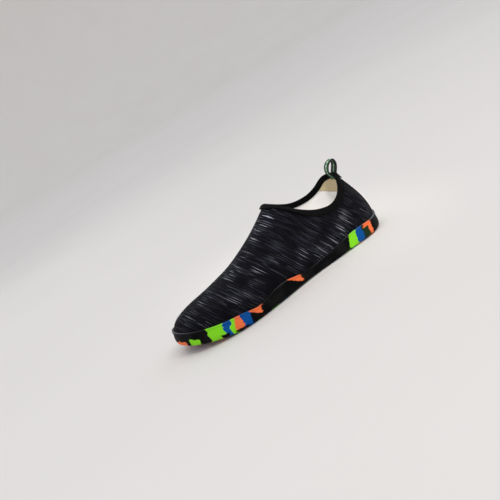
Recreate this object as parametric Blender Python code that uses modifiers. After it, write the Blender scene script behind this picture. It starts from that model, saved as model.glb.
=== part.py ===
"""Slip-on water shoe for the left foot, standing unbent on its own sole.

Metres, +Z up, +X toward the toe, +Y the outer side of the foot.  The shoe's
shape is one smooth surface, upper_point(turn, level): turn goes once round
the foot from the heel by the outer side, level goes from the edge tucked
under the foot (-1) past the widest line (0) to the collar or the ridge (1).
Every piece is laid on that surface at its own distance.
"""
import math

import bmesh
import bpy
import numpy as np
from mathutils import Vector
from mathutils.bvhtree import BVHTree

# Sizes of the whole shoe.
LENGTH = 0.2625
BALL_WIDTH = 0.096
HEEL_HEIGHT = 0.0765
SIDE_HEIGHT = 0.0535
INSTEP_HEIGHT = 0.090
INNER_RAISE = 0.0095
GAP = 0.0003
LEG_GAP = 0.0005
THROAT_ROOM = 0.0011
TUCK_GAP = 0.001

# Sole.
SOLE_THICK = 0.0035
LUG_HEIGHT = 0.0015
LUG_ROOT = 0.0005
RAND_HEIGHT = 0.0165
RAND_WALL = 0.0016
LIP_OUT = 0.0006
LIP_HEIGHT = 0.0016
HEEL_BULGE = 0.20
TOE_SPRING = 0.011
SPRING_START = 0.749
HEEL_RISE = 0.002
HEEL_FLAT_START = 0.07
ARCH_BACK = 0.29
ARCH_FRONT = 0.583
OUTER_ARCH = 0.0008
INNER_ARCH = 0.0032
GROOVE_HALF = 0.002
LUG_EDGE = 0.0085
LUG_SLANT = 0.006

# Upper, insole and trims.
WALL = 0.0014
CORNER_IN = 0.006
CORNER_UP = 0.0055
TAPE = 0.0008
BINDING_OUT = 0.0072
BINDING_IN = 0.0055
STRIP_WIDTH = 0.012
STRIP_THICK = 0.0006
WEB_WIDTH = 0.0112
WEB_THICK = 0.0012
LOOP_HEIGHT = 0.0145
LOOP_OUT_LEG = 0.009
LOOP_IN_LEG = 0.0065
LOOP_SPREAD = 0.0125
LOOP_LEAN = 0.003

# How finely the surface is divided.
REAR_STEPS = 20
FRONT_STEPS = 16
WALL_STEPS = 9
THROAT_SHARE = 0.437

# Foot outline: along as a share of LENGTH, the rest of BALL_WIDTH.
OUTLINE = (
    # along, outer, inner
    (0.030, 0.219, 0.219),
    (0.080, 0.315, 0.315),
    (0.150, 0.337, 0.334),
    (0.261, 0.345, 0.325),
    (0.359, 0.352, 0.292),
    (0.456, 0.382, 0.290),
    (0.553, 0.435, 0.342),
    (0.651, 0.485, 0.425),
    (0.719, 0.500, 0.475),
    (0.797, 0.478, 0.497),
    (0.866, 0.415, 0.478),
    (0.927, 0.310, 0.425),
    (0.968, 0.190, 0.345),
)
TIP_ACROSS = -0.095

# Collar edge from the heel centre (0) to the throat (1): along a share of
# LENGTH, half width of BALL_WIDTH, heel and instep the share of the rise from
# SIDE_HEIGHT to HEEL_HEIGHT or INSTEP_HEIGHT, inner the share of INNER_RAISE.
COLLAR = (
    # round, along, half, steep_deg, heel, instep, inner
    (0.00, 0.0610, 0.000, 72.0, 1.00, 0.00, 0.00),
    (0.20, 0.0705, 0.110, 75.0, 0.80, 0.00, 0.54),
    (0.35, 0.0952, 0.196, 80.0, 0.44, 0.00, 1.24),
    (0.50, 0.1410, 0.262, 80.0, 0.09, 0.00, 1.31),
    (0.64, 0.2019, 0.288, 76.0, 0.00, 0.02, 1.20),
    (0.73, 0.2648, 0.276, 66.0, 0.00, 0.18, 0.88),
    (0.82, 0.3272, 0.228, 50.0, 0.00, 0.52, 0.52),
    (0.89, 0.3653, 0.162, 34.0, 0.00, 0.78, 0.26),
    (0.95, 0.3897, 0.081, 20.0, 0.00, 0.945, 0.07),
    (1.00, 0.3985, 0.000, 14.0, 0.00, 1.00, 0.00),
)

# Ridge of the vamp from the throat (0) to its front end (1): height a share
# of INSTEP_HEIGHT over the toe spring, across a share of BALL_WIDTH.
RIDGE_BACK = 0.3985
RIDGE_FRONT = 0.905
RIDGE = (
    # run, height, across
    (0.00, 1.000, 0.000),
    (0.10, 0.902, 0.000),
    (0.20, 0.812, 0.000),
    (0.35, 0.702, 0.000),
    (0.50, 0.606, -0.004),
    (0.65, 0.548, -0.012),
    (0.80, 0.496, -0.025),
    (0.90, 0.456, -0.038),
    (1.00, 0.400, -0.055),
)

# Top of the sole's rand over the ground, as shares of RAND_HEIGHT.
RAND = (
    # along, outer, inner
    (0.000, 0.92, 0.92),
    (0.060, 0.96, 0.96),
    (0.134, 1.03, 1.00),
    (0.183, 1.00, 0.98),
    (0.271, 0.80, 0.82),
    (0.368, 0.64, 0.68),
    (0.446, 0.61, 0.66),
    (0.480, 0.76, 0.78),
    (0.514, 1.02, 0.96),
    (0.573, 1.03, 0.97),
    (0.622, 0.95, 0.90),
    (0.666, 0.74, 0.74),
    (0.690, 0.72, 0.72),
    (0.719, 0.84, 0.82),
    (0.749, 0.98, 0.94),
    (0.797, 1.00, 0.98),
    (0.857, 1.00, 0.98),
    (0.927, 0.97, 0.97),
    (1.000, 0.94, 0.94),
)

# Thickness of the sole's side from its bottom (0) to the lip (1), as shares
# of RAND_WALL.
SIDE_THICKNESS = (
    # rise, thickness
    (0.00, 1.25),
    (0.15, 1.90),
    (0.30, 2.85),
    (0.45, 3.10),
    (0.62, 2.40),
    (0.80, 1.55),
    (1.00, 1.00),
)

# Rows of tread bars: their middles as shares of LENGTH.
TREAD = (
    # first, last, rows, bar
    (0.090, 0.256, 5, 0.0065),
    (0.602, 0.913, 9, 0.0062),
)

# Pull loop in the plane across the heel edge: spread a share of LOOP_SPREAD
# from the inner strand, up a share of LOOP_HEIGHT.
LOOP = (
    # spread, up
    (1.00, 0.00),
    (1.04, 0.25),
    (1.06, 0.50),
    (1.00, 0.74),
    (0.86, 0.92),
    (0.55, 1.00),
    (0.22, 0.94),
    (0.05, 0.76),
    (0.00, 0.50),
    (0.00, 0.25),
    (0.00, 0.00),
)


def smooth_curve(places, values, first_slope=None, last_slope=None):
    """Return a smooth function that passes through the values."""
    places = np.array(places, float)
    values = np.array(values, float)
    steps = np.diff(places)
    rises = np.diff(values) / steps
    slopes = np.empty(len(places))
    slopes[1:-1] = (rises[:-1] * steps[1:] + rises[1:] * steps[:-1]) / (steps[:-1] + steps[1:])
    slopes[0] = rises[0] if first_slope is None else first_slope
    slopes[-1] = rises[-1] if last_slope is None else last_slope

    def value(place):
        index = int(np.searchsorted(places, place)) - 1
        index = min(max(index, 0), len(steps) - 1)
        t = (place - places[index]) / steps[index]
        t = min(max(t, 0.0), 1.0)
        start = (1 + 2 * t) * (1 - t) ** 2 * values[index]
        end = t * t * (3 - 2 * t) * values[index + 1]
        start_bend = t * (1 - t) ** 2 * slopes[index] * steps[index]
        end_bend = t * t * (t - 1) * slopes[index + 1] * steps[index]
        return float(start + end + start_bend + end_bend)

    return value


def column(table, index):
    """Return one column of a table."""
    return [row[index] for row in table]


def turn_at(share):
    """Return the turn on the outer side where the outline is share along."""
    return math.acos(1 - 2 * share)


def outline_curve():
    """Return the across share as a function of turn, all the way round."""
    points = [(0.0, 0.0), (math.pi, TIP_ACROSS)]
    for along, outer, inner in OUTLINE:
        points.append((turn_at(along), outer))
        points.append((2 * math.pi - turn_at(along), -inner))
    before = [(turn - 2 * math.pi, share) for turn, share in points]
    after = [(turn + 2 * math.pi, share) for turn, share in points]
    points = sorted(before + points + after)
    return smooth_curve(column(points, 0), column(points, 1))


ACROSS = outline_curve()
COLLAR_ALONG = smooth_curve(column(COLLAR, 0), column(COLLAR, 1), 0.0, 0.0)
COLLAR_HALF = smooth_curve(column(COLLAR, 0), column(COLLAR, 2))
COLLAR_STEEP = smooth_curve(column(COLLAR, 0), column(COLLAR, 3), 0.0)
COLLAR_HEEL = smooth_curve(column(COLLAR, 0), column(COLLAR, 4), 0.0, 0.0)
COLLAR_INSTEP = smooth_curve(column(COLLAR, 0), column(COLLAR, 5), 0.0, 0.0)
COLLAR_INNER = smooth_curve(column(COLLAR, 0), column(COLLAR, 6), 0.0, 0.0)
RIDGE_HEIGHT = smooth_curve(column(RIDGE, 0), column(RIDGE, 1))
RIDGE_ACROSS = smooth_curve(column(RIDGE, 0), column(RIDGE, 2))
RAND_OUTER = smooth_curve(column(RAND, 0), column(RAND, 1), 0.0, 0.0)
RAND_INNER = smooth_curve(column(RAND, 0), column(RAND, 2), 0.0, 0.0)
SIDE_WALL = smooth_curve(column(SIDE_THICKNESS, 0), column(SIDE_THICKNESS, 1))
THROAT_TURN = turn_at(THROAT_SHARE)


def outline_point(turn):
    """Return the foot's outline in plan."""
    return Vector((LENGTH * (1 - math.cos(turn)) / 2, BALL_WIDTH * ACROSS(turn)))


def outward(turn):
    """Return the direction in plan that leaves the outline."""
    tangent = outline_point(turn + 0.002) - outline_point(turn - 0.002)
    return Vector((-tangent.y, tangent.x)).normalized()


def spring(x):
    """Return how far the toe end lifts off the ground."""
    run = max(0.0, x / LENGTH - SPRING_START) / (1 - SPRING_START)
    return TOE_SPRING * run ** 1.8


def ground(x, y):
    """Return the height of the tread face."""
    along = x / LENGTH
    back = max(0.0, HEEL_FLAT_START - along) / HEEL_FLAT_START
    middle = min(max((along - ARCH_BACK) / (ARCH_FRONT - ARCH_BACK), 0.0), 1.0)
    inner = min(max(0.5 - y / (0.7 * BALL_WIDTH), 0.0), 1.0)
    arch = OUTER_ARCH + (INNER_ARCH - OUTER_ARCH) * inner
    return spring(x) + HEEL_RISE * back ** 2 + arch * math.sin(math.pi * middle) ** 2


def ridge_point(run):
    """Return the vamp's ridge."""
    along = RIDGE_BACK + (RIDGE_FRONT - RIDGE_BACK) * run
    x = LENGTH * along
    height = INSTEP_HEIGHT * RIDGE_HEIGHT(run) + spring(x)
    return Vector((x, BALL_WIDTH * RIDGE_ACROSS(run), height))


def ridge_slope(run):
    """Return the ridge's rise per metre along the shoe."""
    before = ridge_point(max(run - 0.01, 0.0))
    after = ridge_point(min(run + 0.01, 1.0))
    return (after.z - before.z) / (after.x - before.x)


def top_line(turn):
    """Return the collar or ridge point of a column, and how it arrives there."""
    side = 1.0 if turn <= math.pi else -1.0
    mirrored = turn if turn <= math.pi else 2 * math.pi - turn
    edge = outline_point(turn)
    if mirrored <= THROAT_TURN:
        round_share = mirrored / THROAT_TURN
        heel_part = COLLAR_HEEL(round_share) * (HEEL_HEIGHT - SIDE_HEIGHT)
        instep_part = COLLAR_INSTEP(round_share) * (INSTEP_HEIGHT - SIDE_HEIGHT)
        height = SIDE_HEIGHT + heel_part + instep_part
        if side < 0:
            height += INNER_RAISE * COLLAR_INNER(round_share)
        top = Vector((LENGTH * COLLAR_ALONG(round_share), side * BALL_WIDTH * COLLAR_HALF(round_share), height))
        plan = (top.xy - edge).normalized()
        steep = math.tan(math.radians(COLLAR_STEEP(round_share)))
        over = COLLAR_INSTEP(round_share) ** 2
        rise = (1 - over) * steep + over * plan.x * ridge_slope(0.0)
    else:
        share = (1 - math.cos(mirrored)) / 2
        run = (share - THROAT_SHARE) / (1 - THROAT_SHARE)
        top = ridge_point(run)
        plan = (top.xy - edge).normalized()
        rise = plan.x * ridge_slope(run)
    return top, Vector((plan.x, plan.y, rise)).normalized()


def upper_point(turn, level):
    """Return the outside of the upper."""
    turn = turn % (2 * math.pi)
    edge = outline_point(turn)
    if level <= 0:
        swing = (level + 1) * math.pi / 2
        place = edge - outward(turn) * CORNER_IN * (1 - math.sin(swing))
        height = ground(place.x, place.y) + SOLE_THICK + GAP + CORNER_UP * (1 - math.cos(swing))
        return Vector((place.x, place.y, height))
    start = Vector((edge.x, edge.y, ground(edge.x, edge.y) + SOLE_THICK + GAP + CORNER_UP))
    top, arrival = top_line(turn)
    reach = (top - start).length
    fore = min(max((edge.x / LENGTH - 0.3) / 0.5, 0.0), 1.0)
    back = max(0.0, math.cos(turn)) ** 2 * HEEL_BULGE
    out = outward(turn) * back
    low = start + Vector((out.x, out.y, 1.0)) * reach * (0.38 - 0.04 * fore)
    high = top - arrival * reach * (0.30 + 0.12 * fore)
    t = level
    return start * (1 - t) ** 3 + low * 3 * t * (1 - t) ** 2 + high * 3 * t * t * (1 - t) + top * t ** 3


def upper_normal(turn, level):
    """Return the direction that leaves the upper's outside."""
    nudge = 0.004
    low = max(level - nudge, -1.0)
    high = min(level + nudge, 1.0)
    around = upper_point(turn + nudge, level) - upper_point(turn - nudge, level)
    along = upper_point(turn, high) - upper_point(turn, low)
    return along.cross(around).normalized()


def offset_point(turn, level, distance):
    """Return a point a set distance off the upper's outside."""
    return upper_point(turn, level) + upper_normal(turn, level) * distance


def rand_height(turn):
    """Return the top of the rand over the ground."""
    edge = outline_point(turn)
    table = RAND_OUTER if turn % (2 * math.pi) <= math.pi else RAND_INNER
    return RAND_HEIGHT * table(edge.x / LENGTH)


def level_at(turn, height):
    """Return the level at which the upper is a set height over the ground."""
    edge = outline_point(turn)
    target = ground(edge.x, edge.y) + height
    low = -0.9
    high = 0.95
    for _ in range(30):
        middle = (low + high) / 2
        if upper_point(turn, middle).z < target:
            low = middle
        else:
            high = middle
    return (low + high) / 2


def column_turns():
    """Return the turns of all columns, from the heel by the outer side."""
    rear = [THROAT_TURN * i / REAR_STEPS for i in range(REAR_STEPS)]
    front = [THROAT_TURN + (math.pi - THROAT_TURN) * i / FRONT_STEPS for i in range(FRONT_STEPS + 1)]
    outer = rear + front
    inner = [2 * math.pi - turn for turn in reversed(outer[1:-1])]
    return outer + inner


TURNS = column_turns()
COUNT = len(TURNS)
HALF = COUNT // 2
RAND_LEVELS = [level_at(turn, rand_height(turn)) for turn in TURNS]
LIP_LEVELS = [level_at(turn, rand_height(turn) - LIP_HEIGHT) for turn in TURNS]


def make_material(name, colour, roughness):
    """Return a plain Principled material."""
    material = bpy.data.materials.new(name)
    material.use_nodes = True
    shader = material.node_tree.nodes["Principled BSDF"]
    shader.inputs["Base Color"].default_value = (*colour, 1.0)
    shader.inputs["Roughness"].default_value = roughness
    return material


def make_object(name, points, faces, collection, material=None):
    """Return a mesh object with its faces turned outward."""
    mesh = bpy.data.meshes.new(name)
    mesh.from_pydata([tuple(point) for point in points], [], faces)
    work = bmesh.new()
    work.from_mesh(mesh)
    bmesh.ops.remove_doubles(work, verts=work.verts, dist=1e-7)
    bmesh.ops.recalc_face_normals(work, faces=work.faces)
    work.to_mesh(mesh)
    work.free()
    result = bpy.data.objects.new(name, mesh)
    if material:
        mesh.materials.append(material)
    collection.objects.link(result)
    return result


def band(first, second, closed=True):
    """Return quads between two rows of point numbers."""
    count = len(first)
    last = count if closed else count - 1
    return [(first[i], first[(i + 1) % count], second[(i + 1) % count], second[i]) for i in range(last)]


def ladder(ring):
    """Return faces that fill a ring from the outer side to the inner side."""
    faces = [(ring[0], ring[1], ring[COUNT - 1])]
    for i in range(1, HALF - 1):
        faces.append((ring[i], ring[i + 1], ring[COUNT - i - 1], ring[COUNT - i]))
    faces.append((ring[HALF - 1], ring[HALF], ring[HALF + 1]))
    return faces


def rings_to_mesh(rings):
    """Return points and row numbers for a list of rings of points."""
    points = []
    rows = []
    for ring in rings:
        rows.append(list(range(len(points), len(points) + len(ring))))
        points.extend(ring)
    return points, rows


def upper_levels(index):
    """Return the levels of the upper's rows at one column."""
    rand = RAND_LEVELS[index]
    tucked = [-1.0, -0.75, -0.5, -0.25, 0.0]
    covered = [rand / 2, rand]
    free = [rand + (1 - rand) * i / WALL_STEPS for i in range(1, WALL_STEPS + 1)]
    return tucked + covered + free


def upper_surface():
    """Return points and faces of the upper's outside, open at collar and foot."""
    levels = [upper_levels(i) for i in range(COUNT)]
    rings = []
    for row in range(len(levels[0])):
        rings.append([upper_point(TURNS[i], levels[i][row]) for i in range(COUNT)])
    points, rows = rings_to_mesh(rings)
    # The two sides share the points of the ridge.
    for i in range(REAR_STEPS, HALF):
        rows[-1][COUNT - i] = rows[-1][i]
    faces = []
    for first, second in zip(rows, rows[1:]):
        faces.extend(band(first, second))
    clean = []
    for face in faces:
        unique = []
        for number in face:
            if number not in unique:
                unique.append(number)
        if len(unique) > 2:
            clean.append(tuple(unique))
    return points, clean


def drop_unused(points, faces):
    """Return points and faces without the points that no face uses."""
    used = sorted({number for face in faces for number in face})
    place = {number: i for i, number in enumerate(used)}
    return [points[number] for number in used], [tuple(place[number] for number in face) for face in faces]


def build_upper(collection):
    """Build the hollow knit upper."""
    points, faces = drop_unused(*upper_surface())
    upper = make_object("upper", points, faces, collection, make_material("knit_black", (0.02, 0.022, 0.03), 0.8))
    shell = upper.modifiers.new("wall", "SOLIDIFY")
    shell.thickness = WALL
    shell.offset = -1
    shell.use_even_offset = False
    return upper


def build_outsole(collection, cutters):
    """Build the cupped rubber sole and join its tread bars."""
    rises = [row[0] for row in SIDE_THICKNESS]
    outer_rings = []
    for rise in rises:
        ring = []
        for i in range(COUNT):
            level = -1 + (LIP_LEVELS[i] + 1) * rise
            ring.append(offset_point(TURNS[i], level, GAP + RAND_WALL * SIDE_WALL(rise)))
        outer_rings.append(ring)
    lip = GAP + RAND_WALL + LIP_OUT
    outer_rings.append([offset_point(TURNS[i], LIP_LEVELS[i], lip) for i in range(COUNT)])
    outer_rings.append([offset_point(TURNS[i], RAND_LEVELS[i], lip) for i in range(COUNT)])
    inner_rings = []
    for row in (6, 5, 4, 3, 2, 1, 0):
        inner_rings.append([offset_point(TURNS[i], upper_levels(i)[row], GAP) for i in range(COUNT)])
    floor_ring = []
    plateau_ring = []
    for turn in TURNS:
        place = outline_point(turn) - outward(turn) * (CORNER_IN + TUCK_GAP)
        base = ground(place.x, place.y) + SOLE_THICK
        floor_ring.append(Vector((place.x, place.y, base)))
        plateau_ring.append(Vector((place.x, place.y, base + GAP + WALL)))
    points, rows = rings_to_mesh(outer_rings + inner_rings + [floor_ring, plateau_ring])
    faces = ladder(rows[0]) + ladder(rows[-1])
    for first, second in zip(rows, rows[1:]):
        faces.extend(band(first, second))
    outsole = make_object("outsole", points, faces, collection, make_material("rubber_black", (0.02, 0.02, 0.022), 0.55))
    bars = build_tread(cutters)
    join = outsole.modifiers.new("tread", "BOOLEAN")
    join.operation = "UNION"
    join.solver = "EXACT"
    join.object = bars
    return outsole


def half_width(x, side):
    """Return how far the outline reaches on one side of the foot."""
    turn = turn_at(min(max(x / LENGTH, 0.001), 0.999))
    return BALL_WIDTH * abs(ACROSS(turn if side > 0 else 2 * math.pi - turn))


def build_tread(collection):
    """Build the slanted tread bars of heel and forefoot."""
    points = []
    faces = []
    for first, last, rows, bar in TREAD:
        for row in range(rows):
            middle = LENGTH * (first + (last - first) * row / (rows - 1))
            for side in (1, -1):
                inside = side * GROOVE_HALF
                outside = side * (half_width(middle - LUG_SLANT, side) - LUG_EDGE)
                if abs(outside) < abs(inside) + 0.006:
                    continue
                corners = (
                    (middle - bar / 2, inside),
                    (middle + bar / 2, inside),
                    (middle + bar / 2 - LUG_SLANT, outside),
                    (middle - bar / 2 - LUG_SLANT, outside),
                )
                start = len(points)
                for x, y in corners:
                    points.append((x, y, ground(x, y)))
                for x, y in corners:
                    points.append((x, y, ground(x, y) + LUG_HEIGHT + LUG_ROOT))
                faces.append((start, start + 1, start + 2, start + 3))
                faces.append((start + 4, start + 5, start + 6, start + 7))
                for i in range(4):
                    after = (i + 1) % 4
                    faces.append((start + i, start + after, start + 4 + after, start + 4 + i))
    bars = make_object("tread_bars", points, faces, collection)
    bars.hide_render = True
    bars.display_type = "WIRE"
    return bars


def build_insole(collection):
    """Build the soft insole that lies on the sole and the upper's tucked edge."""
    inset = -(WALL + GAP)
    rings = []
    for level in (-1.0, -0.75, -0.5, -0.25):
        rings.append([offset_point(turn, level, inset) for turn in TURNS])
    points, rows = rings_to_mesh(rings)
    faces = ladder(rows[0]) + ladder(rows[-1])
    for first, second in zip(rows, rows[1:]):
        faces.extend(band(first, second))
    return make_object("insole", points, faces, collection, make_material("insole_foam", (0.05, 0.05, 0.055), 0.9))


def collar_frames(upper):
    """Return point, throat share, outside and upward directions round the collar."""
    turns = [THROAT_TURN * i / REAR_STEPS for i in range(REAR_STEPS + 1)]
    turns += [2 * math.pi - turn for turn in reversed(turns[1:-1])]
    places = [upper_point(turn, 1.0) for turn in turns]
    upper.data.update()
    frames = []
    for i, turn in enumerate(turns):
        place = places[i]
        tangent = (places[(i + 1) % len(places)] - places[i - 1]).normalized()
        vertex = min(upper.data.vertices, key=lambda corner: (corner.co - place).length_squared)
        outside = vertex.normal.copy()
        share = min(turn, 2 * math.pi - turn) / THROAT_TURN
        frames.append((place, COLLAR_INSTEP(share), outside, tangent.cross(outside).normalized()))
    return frames


def skin_tree():
    """Return a search tree of the upper's outside near the collar, finely divided."""
    steps = REAR_STEPS * 6
    turns = [1.1 * THROAT_TURN * i / steps for i in range(-steps, steps + 1)]
    turns += [math.pi * (0.58 + 0.84 * i / steps) for i in range(steps + 1)]
    rings = [[upper_point(turn, 0.4 + 0.02 * row) for turn in turns] for row in range(31)]
    points, rows = rings_to_mesh(rings)
    faces = []
    for first, second in zip(rows, rows[1:]):
        for face in band(first, second, closed=False):
            if face[1] - face[0] == 1 and (face[0] - rows[0][0]) % len(turns) != 2 * steps:
                faces.append(face)
    return BVHTree.FromPolygons([tuple(point) for point in points], faces)


def laid_point(tree, place, outside, distance):
    """Return the nearest place on the upper's outside, moved off it."""
    nearest, normal, _, _ = tree.find_nearest(place)
    if normal.dot(outside) < 0:
        normal = -normal
    return nearest + normal * distance


def build_binding(collection, tree, upper):
    """Build the folded tape round the collar."""
    near = GAP
    far = GAP + TAPE
    inner_near = -(WALL + GAP)
    inner_far = -(WALL + GAP + TAPE)
    rings = []
    for place, throat, outside, up in collar_frames(upper):
        deep = LEG_GAP - GAP + THROAT_ROOM * throat
        ring = []
        for share in (1.0, 0.66, 0.33):
            ring.append(laid_point(tree, place - up * BINDING_OUT * share, outside, far + deep))
        ring.append(place + outside * far)
        ring.append(place + outside * (far - TAPE * 0.3) + up * (GAP + TAPE * 0.6))
        ring.append(place - outside * WALL / 2 + up * (GAP + TAPE))
        ring.append(place + outside * (inner_far + TAPE * 0.3) + up * (GAP + TAPE * 0.6))
        ring.append(place + outside * inner_far)
        for share in (0.5, 1.0):
            ring.append(laid_point(tree, place - up * BINDING_IN * share, outside, inner_far - deep))
        for share in (1.0, 0.5):
            ring.append(laid_point(tree, place - up * BINDING_IN * share, outside, inner_near - deep))
        ring.append(place + outside * inner_near + up * GAP)
        ring.append(place + outside * near + up * GAP)
        for share in (0.33, 0.66, 1.0):
            ring.append(laid_point(tree, place - up * BINDING_OUT * share, outside, near + deep))
        rings.append(ring)
    points, rows = rings_to_mesh(rings)
    rows.append(rows[0])
    faces = []
    for first, second in zip(rows, rows[1:]):
        faces.extend(band(first, second))
    return make_object("collar_binding", points, faces, collection, make_material("elastic_black", (0.012, 0.012, 0.014), 0.7))


def turn_for_width(across):
    """Return the turn near the heel where the collar edge is across wide."""
    low = 0.0
    high = THROAT_TURN / 2
    for _ in range(30):
        middle = (low + high) / 2
        if upper_point(middle, 1.0).y < abs(across):
            low = middle
        else:
            high = middle
    return math.copysign((low + high) / 2, across)


def level_below_edge(turn, depth):
    """Return the level that lies depth below the collar edge."""
    top = upper_point(turn, 1.0)
    low = 0.3
    high = 1.0
    for _ in range(30):
        middle = (low + high) / 2
        if (upper_point(turn, middle) - top).length > depth:
            low = middle
        else:
            high = middle
    return (low + high) / 2


def build_strip(collection):
    """Build the back seam's cover strip."""
    points = []
    rows = []
    steps = 8
    shares = (-1.0, -0.5, 0.0, 0.5, 1.0)
    for share in shares:
        across = share * STRIP_WIDTH / 2
        turn = turn_for_width(across)
        top = level_below_edge(turn, BINDING_OUT + LEG_GAP + 3 * GAP)
        bottom = level_at(turn, rand_height(turn) + 2 * GAP)
        row = []
        for step in range(steps + 1):
            level = bottom + (top - bottom) * step / steps
            row.append(len(points))
            points.append(offset_point(turn, level, GAP))
        rows.append(row)
    faces = []
    for first, second in zip(rows, rows[1:]):
        faces.extend(band(first, second, closed=False))
    strip = make_object("heel_strip", points, faces, collection, make_material("strip_black", (0.015, 0.015, 0.017), 0.6))
    return strip


def loop_rows():
    """Return the loop's path as leg depths and heights, outer foot first."""
    outer = (1.0, 0.66, 0.33)
    rows = [(1.0, -LOOP_OUT_LEG * share) for share in outer]
    rows += [(spread, LOOP_HEIGHT * up) for spread, up in LOOP]
    rows += [(0.0, -LOOP_IN_LEG * share) for share in (0.5, 1.0)]
    return rows


def build_loop(collection, tree):
    """Build the webbing pull loop at the heel."""
    inner_out = -(WALL + LEG_GAP + GAP + TAPE + WEB_THICK / 2)
    outer_out = LEG_GAP + GAP + TAPE + WEB_THICK / 2
    wide = LOOP_SPREAD
    shares = (-1.0, -0.5, 0.0, 0.5, 1.0)
    heel = upper_point(0.0, 1.0)
    points = []
    rows = []
    for spread, up in loop_rows():
        out = inner_out + (outer_out - inner_out) * spread
        rise = min(max(up / LOOP_HEIGHT, 0.0), 1.0)
        widen = (wide - (outer_out - inner_out)) * (spread - 0.5) * math.sin(math.pi * min(rise, 0.5))
        row = []
        for share in shares:
            across = share * WEB_WIDTH / 2
            turn = turn_for_width(across)
            place = upper_point(turn, 1.0)
            outside = upper_normal(turn, 0.985)
            outside.y *= 1 - rise
            outside.normalize()
            place.y = across
            place.x += (heel.x - place.x) * rise
            place.z += (heel.z - place.z) * rise
            if up < 0:
                point = laid_point(tree, place + Vector((0, 0, up)), outside, out)
            else:
                lean = Vector((-LOOP_LEAN * rise, 0, up))
                point = place + outside * (out + widen) + lean
            row.append(len(points))
            points.append(point)
        rows.append(row)
    faces = []
    for first, second in zip(rows, rows[1:]):
        faces.extend(band(first, second, closed=False))
    loop = make_object("pull_loop", points, faces, collection, make_material("webbing_black", (0.02, 0.02, 0.02), 0.75))
    shell = loop.modifiers.new("web", "SOLIDIFY")
    shell.thickness = WEB_THICK
    shell.offset = 0
    return loop


def orient_strip(strip):
    """Thicken the strip away from the upper."""
    mesh = strip.data
    work = bmesh.new()
    work.from_mesh(mesh)
    work.faces.ensure_lookup_table()
    if sum(face.normal.x for face in work.faces) > 0:
        bmesh.ops.reverse_faces(work, faces=work.faces)
    work.to_mesh(mesh)
    work.free()
    shell = strip.modifiers.new("tape", "SOLIDIFY")
    shell.thickness = STRIP_THICK
    shell.offset = 1


def orient_upper(upper):
    """Turn the upper's faces away from the foot before its wall is made."""
    mesh = upper.data
    work = bmesh.new()
    work.from_mesh(mesh)
    middle = Vector((LENGTH / 2, 0, INSTEP_HEIGHT / 3))
    total = sum((face.calc_center_median() - middle).dot(face.normal) * face.calc_area() for face in work.faces)
    if total < 0:
        bmesh.ops.reverse_faces(work, faces=work.faces)
    work.to_mesh(mesh)
    work.free()


def centre_in_plan(objects):
    """Move everything so that the shoe's bounding box is centred on the origin."""
    lows = []
    highs = []
    graph = bpy.context.evaluated_depsgraph_get()
    for item in objects:
        done = item.evaluated_get(graph).data
        corners = np.array([vertex.co[:] for vertex in done.vertices])
        lows.append(corners.min(axis=0))
        highs.append(corners.max(axis=0))
    middle = (np.min(lows, axis=0) + np.max(highs, axis=0)) / 2
    shift = Vector((-middle[0], -middle[1], -float(np.min(lows, axis=0)[2])))
    for item in bpy.data.objects:
        for vertex in item.data.vertices:
            vertex.co += shift
    return shift


def build():
    """Build the whole shoe."""
    for item in list(bpy.data.objects):
        bpy.data.objects.remove(item)
    shoe = bpy.data.collections.new("water_shoe")
    cutters = bpy.data.collections.new("cutters")
    bpy.context.scene.collection.children.link(shoe)
    bpy.context.scene.collection.children.link(cutters)
    upper = build_upper(shoe)
    orient_upper(upper)
    outsole = build_outsole(shoe, cutters)
    insole = build_insole(shoe)
    tree = skin_tree()
    binding = build_binding(shoe, tree, upper)
    strip = build_strip(shoe)
    orient_strip(strip)
    loop = build_loop(shoe, tree)
    bpy.context.view_layer.update()
    centre_in_plan([upper, outsole, insole, binding, strip, loop])
    cutters.hide_render = True


build()
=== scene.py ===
"""Looks of the slip-on water shoe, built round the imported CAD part."""
import math

import bmesh
import bpy
import numpy as np
from bpy.props import FloatProperty, FloatVectorProperty, PointerProperty
from mathutils import Matrix, Vector
from mathutils.bvhtree import BVHTree


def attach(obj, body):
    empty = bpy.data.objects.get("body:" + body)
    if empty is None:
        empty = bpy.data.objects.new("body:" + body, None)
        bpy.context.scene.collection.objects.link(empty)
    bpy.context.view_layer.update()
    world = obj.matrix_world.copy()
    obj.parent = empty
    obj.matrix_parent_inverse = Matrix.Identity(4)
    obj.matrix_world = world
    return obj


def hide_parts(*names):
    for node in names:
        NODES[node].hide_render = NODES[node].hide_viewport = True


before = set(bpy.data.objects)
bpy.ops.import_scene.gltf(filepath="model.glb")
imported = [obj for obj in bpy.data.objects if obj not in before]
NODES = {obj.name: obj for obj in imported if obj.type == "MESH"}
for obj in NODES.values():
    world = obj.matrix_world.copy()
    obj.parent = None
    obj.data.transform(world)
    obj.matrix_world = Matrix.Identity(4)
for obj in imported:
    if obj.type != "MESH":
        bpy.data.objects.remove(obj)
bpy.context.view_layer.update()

bl_info = {
    "name": "Water Shoe",
    "version": (1, 0, 0),
    "blender": (4, 5, 0),
    "location": "View3D > Sidebar > Water Shoe",
    "description": "Builds a slip-on water shoe and a plain stage",
    "category": "Add Mesh",
}

# Direction across the streaks of the knit, and the way they run on the sides.
STREAK_ACROSS = (-0.87, 0.0, 0.5)
STREAK_ALONG = (-0.5, 0.0, -0.87)
SIDEWAYS = (0.0, 1.0, 0.0)
# Faint, grey and white streaks: fineness across, stretch along, and the value of the
# noise above which they show.
STREAK_KINDS = ((2100.0, 34.0, 0.64), (1900.0, 38.0, 0.685), (1700.0, 36.0, 0.715))

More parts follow.
